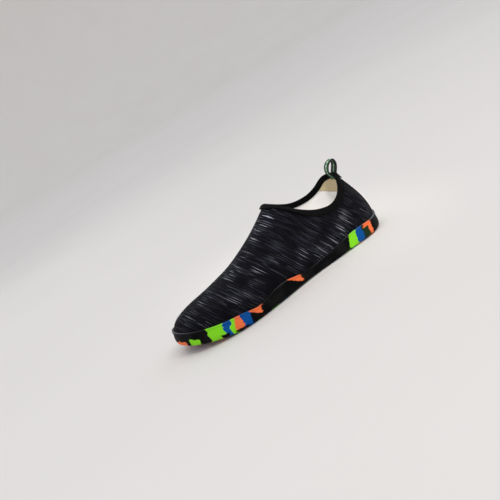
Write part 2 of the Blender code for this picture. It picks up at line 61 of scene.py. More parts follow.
# Colours round the sole's outer side, from the heel (0 degrees) to the toe tip
# (180 degrees): where each one starts, and its name.
OUTER_BANDS = (
    (0.0, "base"),
    (33.2, "orange"),
    (36.5, "dark"),
    (43.6, "blue"),
    (48.6, "green"),
    (54.0, "base"),
    (117.0, "blue"),
    (123.1, "orange"),
    (126.8, "green"),
    (129.8, "blue"),
    (134.0, "green"),
    (144.2, "base"),
)
INNER_BANDS = (
    (0.0, "base"),
    (29.0, "orange"),
    (35.0, "blue"),
    (42.0, "green"),
    (49.0, "dark"),
    (52.0, "base"),
    (107.0, "orange"),
    (115.0, "blue"),
    (122.0, "orange"),
    (129.0, "dark"),
    (131.5, "yellow"),
    (139.0, "orange"),
    (146.0, "base"),
    (153.0, "green"),
    (160.0, "base"),
)

# Single patches on the outer and inner sides: from, to, low, high, tilt of the
# lower edge for each degree, name.
OUTER_PATCHES = (
    (36.5, 42.0, 0.72, 1.3, 0.0, "orange"),
    (86.6, 95.6, 0.30, 1.3, 0.085, "orange"),
    (111.4, 118.6, 0.34, 1.3, 0.075, "orange"),
    (120.5, 127.8, -0.3, 0.20, 0.0, "base"),
    (132.6, 138.0, -0.3, 0.34, 0.05, "base"),
    (152.0, 159.5, -0.3, 0.46, 0.0, "green"),
)
INNER_PATCHES = (
    (36.0, 41.0, 0.65, 1.3, 0.0, "orange"),
    (88.0, 95.0, 0.35, 1.3, 0.085, "orange"),
    (124.0, 131.0, -0.3, 0.24, 0.0, "base"),
    (138.0, 143.0, -0.3, 0.30, 0.0, "dark"),
)
# Patch round the tip of the toe, in the same columns.
TIP_PATCH = (163.6, 190.0, -0.2, 0.34, 0.0, "orange")
# Soft troughs in the knit: start, end, reach and depth.
TROUGHS = (
    ((-0.060, 0.0305, 0.0460), (-0.062, 0.0350, 0.0350), 0.0016, 0.0004),
    ((-0.054, 0.0300, 0.0490), (-0.056, 0.0345, 0.0360), 0.0016, 0.0004),
    ((-0.048, 0.0290, 0.0520), (-0.050, 0.0340, 0.0400), 0.0016, 0.0004),
    ((-0.066, 0.0310, 0.0440), (-0.068, 0.0350, 0.0330), 0.0016, 0.0004),
    ((-0.020, 0.0220, 0.0700), (0.004, 0.0340, 0.0430), 0.0040, 0.0005),
    ((0.020, 0.0060, 0.0620), (0.034, 0.0300, 0.0430), 0.0045, 0.0005),
    ((0.055, 0.0060, 0.0500), (0.064, 0.0300, 0.0370), 0.0045, 0.0005),
    ((-0.100, 0.0280, 0.0440), (-0.112, 0.0240, 0.0260), 0.0045, 0.0005),
)
# Areas of the knit where its pale streaks crowd: middle, reach and share.
STREAK_AREAS = (
    ((-0.0185, 0.016, 0.0787), 0.011, 1.0),
    ((-0.0184, 0.0046, 0.0836), 0.010, 0.9),
    ((-0.0002, 0.0099, 0.0712), 0.010, 0.8),
    ((0.0162, 0.011, 0.0629), 0.010, 0.8),
    ((0.0252, 0.0155, 0.0576), 0.009, 0.7),
    ((0.046, 0.0134, 0.0508), 0.010, 0.8),
    ((0.063, 0.0161, 0.046), 0.010, 0.7),
    ((0.077, 0.0091, 0.0445), 0.009, 0.7),
    ((0.088, 0.0078, 0.0429), 0.009, 0.6),
    ((0.1117, 0.0084, 0.0363), 0.008, 0.5),
    ((0.104, 0.0257, 0.0311), 0.009, 0.6),
    ((0.0275, 0.0337, 0.0429), 0.009, 0.6),
    ((-0.0444, 0.0337, 0.0206), 0.010, 0.7),
    ((-0.062, 0.0332, 0.0154), 0.010, 0.7),
    ((-0.0785, 0.0328, 0.0214), 0.010, 0.7),
    ((-0.0907, 0.0317, 0.0264), 0.009, 0.6),
    ((-0.0872, 0.0301, 0.0376), 0.009, 0.6),
    ((-0.114, 0.0234, 0.0334), 0.010, 0.6),
    ((-0.0267, 0.0345, 0.0259), 0.009, 0.5),
    ((0.0012, 0.0357, 0.0357), 0.009, 0.5),
    ((0.0457, 0.041, 0.0309), 0.009, 0.5),
    ((0.0644, 0.0395, 0.0309), 0.009, 0.5),
)
# How far the colours lean toward the heel up the sole's side, and the range of the
# colour ramp round it, both in degrees.
CAMO_SLANT = 1.5
TURN_SPAN = 200.0
# Colours under the sole: the value of a noise where each one starts, and its name.
UNDER_STEPS = (
    (0.0, "green"),
    (0.37, "base"),
    (0.44, "blue"),
    (0.48, "base"),
    (0.53, "orange"),
    (0.58, "base"),
    (0.64, "green"),
)
# Where the colours under the sole end behind the ball and before the heel.
UNDER_FORE = 0.028
UNDER_HEEL = -0.06
# Height of the tread's upper end, and how much higher it lies at the toe.
TREAD_TOP = 0.0095
TREAD_RISE = 0.009

# A line inside the upper, from which its outer faces look away: its ends, and its
# height before and behind the instep.
CORE_ENDS = (-0.092, 0.1)
CORE_HEIGHTS = (0.03, 0.04)
INSTEP = -0.02
# Edge of the heel's tan pad: the height where its line passes over the origin, and
# the line's climb toward the toe.
PAD_LEVEL = 0.1282
PAD_CLIMB = 0.64
# Distance from one hole of the insole to the next.
HOLE_PITCH = 0.007

# Middle of the collar from above, and the points taken round it.
COLLAR_MIDDLE = np.array([-0.068, 0.0])
COLLAR_STEPS = 72
# Stitches: width, pitch as a multiple of one stitch's length, and how far the middle
# of a stitch stands out.
STITCH_WIDTH = 0.00045
STITCH_PITCH = 1.35
STITCH_LIFT = 0.00005
# Places of the rows: share of the way from the binding's lower edge to the collar's
# edge, share of the heel strip's half width, and distance from the strip's ends.
BINDING_ROW = 0.16
STRIP_ROW = 0.62
STRIP_END = 0.003

# Pull loop: height of the open bow, depth of its centre below the top, its radius,
# where the straight legs start below the centre, and their distance along the tape.
LOOP_BOW = 0.02
LOOP_CENTRE = 0.011
LOOP_RADIUS = 0.0095
LOOP_LEGS = 0.008
LOOP_LEG_START = 0.0222
# Webbing: half the stripe's width, and the distance from one pale tick to the next.
STRIPE_HALF = 0.0016
TICK_PITCH = 0.0052

# Lamps: name, place, aim, width, power, spread in degrees and colour.
LAMPS = (
    ("key", (-0.5, 1.1, 1.5), (0.0, 0.0, 0.04), 0.9, 7.5, 180.0, (1.0, 0.98, 0.95)),
    ("fill", (1.2, 0.9, 0.7), (0.0, 0.0, 0.04), 1.2, 1.5, 180.0, (0.92, 0.96, 1.0)),
    ("rim", (0.3, -1.3, 1.2), (0.0, 0.0, 0.04), 0.9, 2.2, 180.0, (1.0, 1.0, 1.0)),
    ("top", (0.0, 0.1, 1.9), (0.0, 0.0, 0.04), 1.4, 1.2, 180.0, (1.0, 1.0, 1.0)),
    ("inside", (-0.2, 0.75, 0.8), (-0.08, -0.01, 0.06), 0.15, 0.055, 16.0, (1.0, 0.97, 0.92)),
)
# Camera: the picture's width in pixels, the pixels for a metre at the shoe, the
# point it aims at and the pixel where that point shows, its distance, its angles in
# degrees and its sensor's width in millimetres.
PICTURE = 500.0
PIXELS_PER_METRE = 903.46
CAMERA_AIM = (0.0, 0.0, 0.035)
SHOWN_AT = (269.66, 259.64)
CAMERA_DISTANCE = 0.9
CAMERA_AZIMUTH = 165.0
CAMERA_HEIGHT = 14.0
CAMERA_ROLL = 30.86
SENSOR = 36.0


def look():
    """Return the settings that the panel shows."""
    return bpy.context.scene.water_shoe


def deselect():
    """Leave edit mode and select nothing."""
    if bpy.context.object and bpy.context.object.mode != "OBJECT":
        bpy.ops.object.mode_set(mode="OBJECT")
    bpy.ops.object.select_all(action="DESELECT")


def activate(piece):
    """Select one object only and make it active."""
    deselect()
    piece.select_set(True)
    bpy.context.view_layer.objects.active = piece


def apply_modifier(piece, kind, **settings):
    """Add a modifier with these settings and apply it."""
    activate(piece)
    modifier = piece.modifiers.new(kind.lower(), kind)
    for name, value in settings.items():
        setattr(modifier, name, value)
    bpy.ops.object.modifier_apply(modifier=modifier.name)


def skin_copy(node, name, crease_degrees=40.0, levels=2):
    """Copy a CAD node, merge its corners and round its faces."""
    piece = NODES[node].copy()
    piece.data = NODES[node].data.copy()
    piece.name = name
    piece.data.name = name
    bpy.context.scene.collection.objects.link(piece)
    piece.data.materials.clear()
    activate(piece)
    bpy.ops.object.mode_set(mode="EDIT")
    bpy.ops.mesh.select_all(action="SELECT")
    bpy.ops.mesh.remove_doubles(threshold=0.00001)
    bpy.ops.mesh.tris_convert_to_quads(
        face_threshold=math.radians(35), shape_threshold=math.radians(60)
    )
    bpy.ops.object.mode_set(mode="OBJECT")
    work = bmesh.new()
    work.from_mesh(piece.data)
    layers = work.edges.layers.float
    crease = layers.get("crease_edge") or layers.new("crease_edge")
    sharp = math.radians(crease_degrees)
    for edge in work.edges:
        if len(edge.link_faces) == 2 and edge.calc_face_angle() > sharp:
            edge[crease] = 0.8
    work.to_mesh(piece.data)
    work.free()
    if levels:
        apply_modifier(piece, "SUBSURF", levels=levels, render_levels=levels)
    for polygon in piece.data.polygons:
        polygon.use_smooth = True
    return piece


def corners(piece):
    """Return the mesh's corners as an array."""
    flat = np.empty(len(piece.data.vertices) * 3)
    piece.data.vertices.foreach_get("co", flat)
    return flat.reshape(-1, 3)


def place_corners(piece, places):
    """Write the mesh's corners from an array."""
    piece.data.vertices.foreach_set("co", places.reshape(-1))
    piece.data.update()


def corner_normals(piece):
    """Return the mesh's corner normals as an array."""
    flat = np.empty(len(piece.data.vertices) * 3)
    piece.data.vertices.foreach_get("normal", flat)
    return flat.reshape(-1, 3)


def write_attribute(piece, name, values):
    """Store one number for each corner of the mesh."""
    attribute = piece.data.attributes.new(name, "FLOAT", "POINT")
    attribute.data.foreach_set("value", np.asarray(values, np.float32))


def smooth_step(value, low, high):
    """Return 0 below low, 1 above high and a smooth rise between."""
    share = np.clip((value - low) / (high - low), 0.0, 1.0)
    return share * share * (3 - 2 * share)


# Shader helpers.


def add_node(tree, kind, inputs=None, **settings):
    """Add a shader node, set it up and link or set its inputs."""
    node = tree.nodes.new(kind)
    for name, value in settings.items():
        setattr(node, name, value)
    for key, value in (inputs or {}).items():
        if isinstance(value, bpy.types.NodeSocket):
            tree.links.new(value, node.inputs[key])
        else:
            node.inputs[key].default_value = value
    return node


def maths(tree, operation, first, second=0.0, third=0.0, clamp=False):
    """Add a Math node and return its result."""
    inputs = {0: first, 1: second, 2: third}
    node = add_node(tree, "ShaderNodeMath", inputs, operation=operation, use_clamp=clamp)
    return node.outputs[0]


def multiply(tree, first, second):
    """Multiply two values."""
    return maths(tree, "MULTIPLY", first, second)


def vector_maths(tree, operation, first, second):
    """Add a Vector Math node and return its vector."""
    inputs = {0: first, 1: second}
    return add_node(tree, "ShaderNodeVectorMath", inputs, operation=operation).outputs[0]


def axis_value(tree, vector, axis):
    """Return one axis of a vector."""
    return add_node(tree, "ShaderNodeSeparateXYZ", {"Vector": vector}).outputs[axis]


def remap(tree, value, low, high, to_low=0.0, to_high=1.0):
    """Add a Map Range node and return its result."""
    inputs = {"Value": value, "From Min": low, "From Max": high}
    inputs.update({"To Min": to_low, "To Max": to_high})
    node = add_node(tree, "ShaderNodeMapRange", inputs, interpolation_type="SMOOTHSTEP")
    return node.outputs["Result"]


def blend_colours(tree, share, first, second):
    """Add a colour Mix node and return its result."""
    node = add_node(tree, "ShaderNodeMix", {"Factor": share}, data_type="RGBA")
    for socket, value in ((node.inputs[6], first), (node.inputs[7], second)):
        if isinstance(value, bpy.types.NodeSocket):
            tree.links.new(value, socket)
        else:
            socket.default_value = (*value[:3], 1.0)
    return node.outputs[2]


def noise(tree, vector, scale, detail=2.0, rough=0.5):
    """Add a Noise texture and return its value."""
    inputs = {"Vector": vector, "Scale": scale, "Detail": detail, "Roughness": rough}
    return add_node(tree, "ShaderNodeTexNoise", inputs).outputs["Fac"]


def dot(tree, vector, direction):
    """Add a dot product with a fixed direction and return its value."""
    inputs = {0: vector, 1: direction}
    node = add_node(tree, "ShaderNodeVectorMath", inputs, operation="DOT_PRODUCT")
    return node.outputs["Value"]


def attribute(tree, name):
    """Add an Attribute node and return its value."""
    return add_node(tree, "ShaderNodeAttribute", attribute_name=name).outputs["Fac"]


def make_group(name, inputs, outputs):
    """Make an empty node group with named sockets: Place is a vector, others values."""
    group = bpy.data.node_groups.new(name, "ShaderNodeTree")
    for labels, way in ((inputs, "INPUT"), (outputs, "OUTPUT")):
        for label in labels:
            kind = "NodeSocketVector" if label == "Place" else "NodeSocketFloat"
            group.interface.new_socket(label, in_out=way, socket_type=kind)
    start = group.nodes.new("NodeGroupInput")
    end = group.nodes.new("NodeGroupOutput")
    return group, start.outputs, end.inputs


def use_group(tree, name, **inputs):
    """Place a node group in a tree and return its outputs."""
    node = tree.nodes.new("ShaderNodeGroup")
    node.node_tree = bpy.data.node_groups[name]
    for key, value in inputs.items():
        if isinstance(value, bpy.types.NodeSocket):
            tree.links.new(value, node.inputs[key])
        else:
            node.inputs[key].default_value = value
    return node.outputs


def knit_place(group, place, across_scale, along_scale):
    """Turn a place to the streaks' directions: across, along, sideways and all three."""
    across = multiply(group, dot(group, place, STREAK_ACROSS), across_scale)
    along = multiply(group, dot(group, place, STREAK_ALONG), along_scale)
    side = multiply(group, dot(group, place, SIDEWAYS), along_scale)
    node = add_node(group, "ShaderNodeCombineXYZ", {"X": across, "Y": along, "Z": side})
    return across, along, side, node.outputs[0]


def make_streak_group():
    """Build the knit's thin broken streaks."""
    inputs = ("Place", "Fineness", "Stretch", "Share")
    group, given, result = make_group("Streaks", inputs, ("Mask",))
    fine, stretch = given["Fineness"], given["Stretch"]
    place = knit_place(group, given["Place"], fine, stretch)[3]
    value = noise(group, place, 1.0, 0.0, 0.4)
    high = maths(group, "ADD", given["Share"], 0.05)
    group.links.new(remap(group, value, given["Share"], high), result["Mask"])


def make_knit_group():
    """Build the height of the knit's tiny stitches."""
    group, given, result = make_group("Knit", ("Place", "Fineness"), ("Height",))
    fine = given["Fineness"]
    across, along, side, place = knit_place(group, given["Place"], fine, fine)
    rows = maths(group, "SINE", across)
    stitches = maths(group, "SINE", maths(group, "ADD", along, side))
    crossed = multiply(group, rows, stitches)
    fuzz = noise(group, place, 1.3, 2.0, 0.6)
    total = maths(group, "ADD", multiply(group, crossed, 0.35), fuzz)
    group.links.new(total, result["Height"])


def make_rib_group():
    """Build the height of woven ribs that run with a piece's own length."""
    inputs = ("Along", "Across", "Step", "Width")
    group, given, result = make_group("Ribs", inputs, ("Height",))
    length_turns = maths(group, "DIVIDE", given["Along"], given["Step"])
    width_turns = maths(group, "DIVIDE", given["Across"], given["Width"])
    ribs = maths(group, "SINE", multiply(group, width_turns, 2 * math.pi))
    half_turn = multiply(group, maths(group, "FLOOR", width_turns), 0.5)
    turns = maths(group, "ADD", length_turns, half_turn)
    weave = maths(group, "SINE", multiply(group, turns, 2 * math.pi))
    total = maths(group, "ADD", multiply(group, ribs, 0.5), multiply(group, weave, 0.5))
    group.links.new(total, result["Height"])


def make_grain_group():
    """Build the fine height of moulded rubber and foam."""
    group, given, result = make_group("Grain", ("Place", "Scale"), ("Height", "Blotch"))
    fine = noise(group, given["Place"], given["Scale"], 3.0, 0.65)
    coarse = noise(group, given["Place"], 60.0, 2.0, 0.5)
    group.links.new(fine, result["Height"])
    group.links.new(coarse, result["Blotch"])


def make_patch_group():
    """Build a mask for one patch of colour on the sole's side."""
    inputs = ("Turn", "Rise", "From", "To", "Low", "High", "Tilt")
    group, given, result = make_group("Patch", inputs, ("Mask",))
    passed = maths(group, "SUBTRACT", given["Turn"], given["From"])
    first = remap(group, passed, -0.35, 0.35)
    last = remap(group, maths(group, "SUBTRACT", given["To"], given["Turn"]), -0.35, 0.35)
    floor = maths(group, "ADD", given["Low"], multiply(group, passed, given["Tilt"]))
    low = remap(group, maths(group, "SUBTRACT", given["Rise"], floor), -0.03, 0.03)
    high = remap(group, maths(group, "SUBTRACT", given["High"], given["Rise"]), -0.03, 0.03)
    sideways = multiply(group, first, last)
    upright = multiply(group, low, high)
    group.links.new(multiply(group, sideways, upright), result["Mask"])


def new_material(name, roughness):
    """Make a material and return its tree, its shader and the Object coordinates."""
    material = bpy.data.materials.new(name)
    material.use_nodes = True
    tree = material.node_tree
    shader = tree.nodes["Principled BSDF"]
    shader.inputs["Roughness"].default_value = roughness
    place = tree.nodes.new("ShaderNodeTexCoord").outputs["Object"]
    return material, tree, shader, place


def put_bump(tree, shader, height, distance, strength):
    """Feed a height through a Bump node into the shader's normal."""
    inputs = {"Height": height, "Distance": distance, "Strength": strength}
    node = add_node(tree, "ShaderNodeBump", inputs)
    tree.links.new(node.outputs["Normal"], shader.inputs["Normal"])


def knit_material():
    """Black stretch knit with pale broken streaks."""
    material, tree, shader, place = new_material("knit_streaked", 0.72)
    settings = look()
    inputs = {"Vector": place, "Scale": 9.0, "Detail": 1.0}
    wander = add_node(tree, "ShaderNodeTexNoise", inputs).outputs["Color"]
    shift = vector_maths(tree, "SUBTRACT", wander, (0.5, 0.5, 0.5))
    shift = vector_maths(tree, "MULTIPLY", shift, (0.0015, 0.0015, 0.0015))
    moved = vector_maths(tree, "ADD", place, shift)
    masks = []
    for fineness, stretch, share in STREAK_KINDS:
        given = {"Place": moved, "Fineness": fineness, "Stretch": stretch, "Share": share}
        masks.append(use_group(tree, "Streaks", **given)["Mask"])
    faint, middle, bright = masks
    density = attribute(tree, "streaks")
    patch = remap(tree, noise(tree, moved, 55.0, 1.0, 0.4), 0.38, 0.62)
    tone = blend_colours(tree, density, settings.knit_colour, settings.knit_pale)
    faint_share = multiply(tree, faint, maths(tree, "MULTIPLY_ADD", patch, 0.3, 0.2))
    tone = blend_colours(tree, faint_share, tone, settings.streak_faint)
    middle_share = multiply(tree, middle, maths(tree, "MULTIPLY_ADD", density, 0.7, 0.15))
    tone = blend_colours(tree, middle_share, tone, settings.streak_grey)
    bright_share = multiply(tree, bright, maths(tree, "MULTIPLY_ADD", density, 0.9, 0.04))
    tone = blend_colours(tree, bright_share, tone, settings.streak_white)
    tree.links.new(tone, shader.inputs["Base Color"])
    shader.inputs["Sheen Weight"].default_value = 0.01
    shader.inputs["Sheen Roughness"].default_value = 0.4
    shader.inputs["Specular IOR Level"].default_value = 0.05
    height = use_group(tree, "Knit", Place=place, Fineness=5200.0)["Height"]
    raised = maths(tree, "MULTIPLY_ADD", faint, 0.5, height)
    put_bump(tree, shader, raised, 0.0002, 0.7)
    return material


def lining_material():
    """Pale lining with a tan pad at the top of the heel, glowing faintly as painted light."""
    material, tree, shader, place = new_material("lining_pale", 0.85)
    settings = look()
    height = axis_value(tree, place, "Z")
    level = maths(tree, "MULTIPLY_ADD", axis_value(tree, place, "X"), -PAD_CLIMB, height)
    edge = maths(tree, "MULTIPLY_ADD", noise(tree, place, 60.0, 1.0), 0.003, level)
    pad = remap(tree, edge, PAD_LEVEL - 0.0004, PAD_LEVEL + 0.0004)
    seam = maths(tree, "ABSOLUTE", maths(tree, "SUBTRACT", edge, PAD_LEVEL))
    seam = remap(tree, seam, 0.0003, 0.0010, 1.0, 0.0)
    tone = blend_colours(tree, pad, settings.lining_colour, settings.pad_colour)
    tone = blend_colours(tree, multiply(tree, seam, 0.45), tone, (0.25, 0.2, 0.14))
    tree.links.new(tone, shader.inputs["Base Color"])
    shader.inputs["Sheen Weight"].default_value = 0.2
    # Painted light: the lining glows faintly in its own colour, so that it looks lit inside the
    # shoe.
    tree.links.new(tone, shader.inputs["Emission Color"])
    shader.inputs["Emission Strength"].default_value = 0.2
    height = use_group(tree, "Knit", Place=place, Fineness=4200.0)["Height"]
    put_bump(tree, shader, height, 0.0002, 0.6)
    return material


def rubber_material():
    """Black rubber with bright camouflage patches on heel and forefoot."""
    material, tree, shader, place = new_material("sole_camouflage", 0.5)
    settings = look()
    colours = {
        "base": settings.rubber_colour,
        "dark": settings.rubber_dark,
        "orange": settings.camo_orange,
        "yellow": settings.camo_yellow,
        "green": settings.camo_green,
        "blue": settings.camo_blue,
    }
    turn = attribute(tree, "turn")
    rise = attribute(tree, "rise")
    side = attribute(tree, "side")
    under = attribute(tree, "under")
    wobble = noise(tree, place, 85.0, 1.0, 0.4)
    wobble = multiply(tree, maths(tree, "SUBTRACT", wobble, 0.5), 5.0)
    ragged = maths(tree, "SUBTRACT", noise(tree, place, 330.0, 1.0, 0.5), 0.5)
    wobble = maths(tree, "MULTIPLY_ADD", ragged, 2.6, wobble)
    leaning = maths(tree, "MULTIPLY_ADD", rise, CAMO_SLANT, turn)
    slanted = maths(tree, "ADD", leaning, wobble)
    wobbly_rise = maths(tree, "MULTIPLY_ADD", wobble, 0.05, rise)
    sides = []
    for bands, patches in ((OUTER_BANDS, OUTER_PATCHES), (INNER_BANDS, INNER_PATCHES)):
        steps = [(start / TURN_SPAN, colour) for start, colour in bands]
        tone = stepped_colour(tree, maths(tree, "DIVIDE", slanted, TURN_SPAN), steps, colours)
        for start, end, low, high, tilt, colour in patches:
            inputs = {"Turn": slanted, "Rise": wobbly_rise, "From": start, "To": end}
            mask = use_group(tree, "Patch", **inputs, Low=low, High=high, Tilt=tilt)["Mask"]
            tone = blend_colours(tree, mask, tone, colours[colour])
        sides.append(tone)
    on_outer = remap(tree, side, -0.0002, 0.0002)
    tone = blend_colours(tree, on_outer, sides[1], sides[0])
    start, end, low, high, tilt, colour = TIP_PATCH
    inputs = {"Turn": turn, "Rise": wobbly_rise, "From": start, "To": end}
    tip = use_group(tree, "Patch", **inputs, Low=low, High=high, Tilt=tilt)["Mask"]
    tone = blend_colours(tree, tip, tone, colours[colour])
    below = under_colour(tree, place, colours)
    tone = blend_colours(tree, under, tone, below)
    grain = use_group(tree, "Grain", Place=place, Scale=1500.0)
    dust = remap(tree, grain["Blotch"], 0.4, 0.8, 0.0, 0.05)
    tone = blend_colours(tree, dust, tone, (0.16, 0.15, 0.14))
    # Painted highlight: the top edge of the rubber is painted pale where light catches it.
    lip_highlight = attribute(tree, "lip_highlight")
    tone = blend_colours(tree, multiply(tree, lip_highlight, 0.75), tone, settings.lip_highlight_colour)
    tree.links.new(tone, shader.inputs["Base Color"])
    roughness = remap(tree, grain["Blotch"], 0.3, 0.7, 0.42, 0.56)
    tree.links.new(roughness, shader.inputs["Roughness"])
    shader.inputs["Specular IOR Level"].default_value = 0.04
    put_bump(tree, shader, grain["Height"], 0.00012, 0.6)
    return material


def stepped_colour(tree, value, steps, colours):
    """Colour by a ramp that jumps from one named colour to the next."""
    node = add_node(tree, "ShaderNodeValToRGB", {"Fac": value})
    ramp = node.color_ramp
    ramp.interpolation = "CONSTANT"
    ramp.elements.remove(ramp.elements[1])
    for index, (start, colour) in enumerate(steps):
        stop = ramp.elements[0] if index == 0 else ramp.elements.new(start)
        stop.position = start
        stop.color = (*colours[colour][:3], 1.0)
    return node.outputs["Color"]


def under_colour(tree, place, colours):
    """Colour the underside: camouflage on heel and forefoot, black between."""
    flat = vector_maths(tree, "MULTIPLY", place, (1.0, 1.0, 0.0))
    value = noise(tree, flat, 34.0, 2.0, 0.55)
    tone = stepped_colour(tree, value, UNDER_STEPS, colours)
    ragged = maths(tree, "MULTIPLY_ADD", value, 0.03, axis_value(tree, place, "X"))
    fore = remap(tree, ragged, UNDER_FORE, UNDER_FORE + 0.001)
    heel = remap(tree, ragged, UNDER_HEEL, UNDER_HEEL + 0.001, 1.0, 0.0)
    zone = maths(tree, "ADD", fore, heel, clamp=True)
    return blend_colours(tree, zone, colours["base"], tone)


def tape_material(name, colour, step, width):
    """Black woven tape with ribs along its own length, their tops painted paler as sheen."""
    material, tree, shader, place = new_material(name, 0.68)
    along, across = attribute(tree, "along"), attribute(tree, "across")
    ribs = use_group(tree, "Ribs", Along=along, Across=across, Step=step, Width=width)
    height = ribs["Height"]
    # Painted sheen and shade: the rib tops are painted paler, up to twice the tape's colour, and the
    # grooves stay dark.
    painted_rib_sheen = remap(tree, height, -1.0, 1.0, 0.0, 0.5)
    rib_sheen_colour = tuple(min(1.0, 2.0 * part + 0.003) for part in colour[:3])
    tone = blend_colours(tree, painted_rib_sheen, colour, rib_sheen_colour)
    dust = remap(tree, noise(tree, place, 120.0, 2.0), 0.4, 0.8, 0.0, 0.12)
    tone = blend_colours(tree, dust, tone, (0.014, 0.014, 0.016))
    tree.links.new(tone, shader.inputs["Base Color"])
    shader.inputs["Specular IOR Level"].default_value = 0.04
    put_bump(tree, shader, height, 0.00012, 0.7)
    return material


def webbing_material():
    """Black webbing with a green middle stripe and small ticks."""
    material, tree, shader = new_material("webbing_striped", 0.7)[:3]
    settings = look()
    black, green = settings.webbing_black, settings.webbing_green
    along, across = attribute(tree, "along"), attribute(tree, "across")
    off = maths(tree, "ABSOLUTE", across)
    stripe = remap(tree, off, STRIPE_HALF, STRIPE_HALF + 0.0003, 1.0, 0.0)
    pitch = maths(tree, "FRACT", maths(tree, "DIVIDE", along, TICK_PITCH))
    starts = remap(tree, pitch, 0.1, 0.14)
    dashes = multiply(tree, starts, remap(tree, pitch, 0.46, 0.5, 1.0, 0.0))
    inner = remap(tree, off, STRIPE_HALF / 2, STRIPE_HALF / 2 + 0.0003, 1.0, 0.0)
    ticks = multiply(tree, dashes, inner)
    ribs = use_group(tree, "Ribs", Along=along, Across=across, Step=0.0009, Width=0.0007)
    height = ribs["Height"]
    outer = remap(tree, off, 0.0041, 0.0043)
    edge_line = multiply(tree, outer, remap(tree, off, 0.0047, 0.0049, 1.0, 0.0))
    tone = blend_colours(tree, multiply(tree, edge_line, 0.25), black, green)
    tone = blend_colours(tree, stripe, tone, green)
    tone = blend_colours(tree, ticks, tone, settings.webbing_tick)
    # Painted shade: the hollows between the ribs are darkened toward black.
    hollow_shade = remap(tree, height, -1.0, 0.2, 0.35, 0.0)
    tone = blend_colours(tree, hollow_shade, tone, black)
    tree.links.new(tone, shader.inputs["Base Color"])
    shader.inputs["Specular IOR Level"].default_value = 0.25
    put_bump(tree, shader, height, 0.00015, 0.8)
    return material


def foam_material():
    """Dark insole foam with rows of small holes."""
    material, tree, shader, place = new_material("insole_foam", 0.85)
    squares = []
    for axis in ("X", "Y"):
        step = maths(tree, "DIVIDE", axis_value(tree, place, axis), HOLE_PITCH)
        off = maths(tree, "SUBTRACT", maths(tree, "FRACT", step), 0.5)
        squares.append(maths(tree, "POWER", off, 2.0))
    far = maths(tree, "SQRT", maths(tree, "ADD", *squares))
    holes = remap(tree, far, 0.1, 0.13, 1.0, 0.0)
    grain = use_group(tree, "Grain", Place=place, Scale=900.0)
    tone = blend_colours(tree, grain["Blotch"], look().insole_colour, (0.16, 0.16, 0.17))
    # Painted shade: the holes are only painted, near black, as the shade inside them.
    tone = blend_colours(tree, holes, tone, (0.01, 0.01, 0.01))
    tree.links.new(tone, shader.inputs["Base Color"])
    height = maths(tree, "MULTIPLY_ADD", holes, -3.0, grain["Height"])
    put_bump(tree, shader, height, 0.0003, 0.7)
    return material


def thread_material():
    """Black sewing thread."""
    material, tree, shader, place = new_material("thread_black", 0.55)
    twist = noise(tree, place, 2600.0, 1.0)
    tone = blend_colours(tree, twist, (0.004, 0.004, 0.005), (0.022, 0.022, 0.026))
    tree.links.new(tone, shader.inputs["Base Color"])
    put_bump(tree, shader, twist, 0.0001, 0.6)
    return material


def sole_attributes(piece):
    """Store the turn round the sole, the rise up its side and the side itself."""
    places = corners(piece)
    normals = corner_normals(piece)
    ends = places[:, 0].min(), places[:, 0].max()
    share = np.clip((places[:, 0] - ends[0]) / (ends[1] - ends[0]), 0.0, 1.0)
    turn = np.degrees(np.arccos(1 - 2 * share))
    tip = places[np.argmax(places[:, 0])]
    back = places[np.argmin(places[:, 0])]
    middle = back[1] + (tip[1] - back[1]) * smooth_step(share, 0.7, 1.0)
    side = places[:, 1] - middle
    rise = np.zeros(len(places))
    steps = np.linspace(0.0, 180.0, 61)
    for outer in (True, False):
        chosen = side >= 0 if outer else side < 0
        tops = []
        lows = []
        for step in steps:
            near = chosen & (np.abs(turn - step) < 4.0)
            heights = places[near, 2]
            tops.append(heights.max())
            outermost = np.abs(places[near, 1]) > 0.8 * np.abs(places[near, 1]).max()
            lows.append(heights[outermost].min())
        top = np.interp(turn, steps, tops)
        low = np.interp(turn, steps, lows)
        rise[chosen] = ((places[:, 2] - low) / (top - low))[chosen]
    write_attribute(piece, "turn", turn)
    write_attribute(piece, "side", side)
    write_attribute(piece, "rise", rise)
    tread_top = TREAD_TOP + TREAD_RISE * smooth_step(places[:, 0], 0.07, 0.13)
    below = 1 - smooth_step(places[:, 2] - tread_top, -0.001, 0.001)
    write_attribute(piece, "under", smooth_step(-normals[:, 2], 0.6, 0.85) * below)
    # Mask of the painted highlight along the rubber's top edge, stronger near the heel and the toe.
    ends_share = np.maximum(1 - smooth_step(turn, 24.0, 40.0), smooth_step(turn, 138.0, 172.0))
    lip_highlight = np.exp(-(((rise - 0.98) / 0.05) ** 2)) * (0.16 + 0.5 * ends_share)
    write_attribute(piece, "lip_highlight", lip_highlight)


def pucker(piece):
    """Press soft puckers below the collar and a few soft troughs into the knit."""
    places = corners(piece)
    normals = corner_normals(piece)
    outer = np.zeros(len(places), bool)
    for polygon in piece.data.polygons:
        if polygon.material_index == 0:
            outer[list(polygon.vertices)] = True
    shift = np.zeros(len(places))
    for start, end, reach, depth in TROUGHS:
        start, end = np.array(start), np.array(end)
        step = end - start
        share = np.clip((places - start) @ step / (step @ step), 0.0, 1.0)
        away = np.linalg.norm(places - (start + share[:, None] * step), axis=1)
        fade = np.sin(np.pi * np.clip(share, 0.05, 0.95))
        shift -= depth * fade * np.exp(-((away / reach) ** 2))
    shift[~outer] = 0.0
    place_corners(piece, places + normals * shift[:, None])


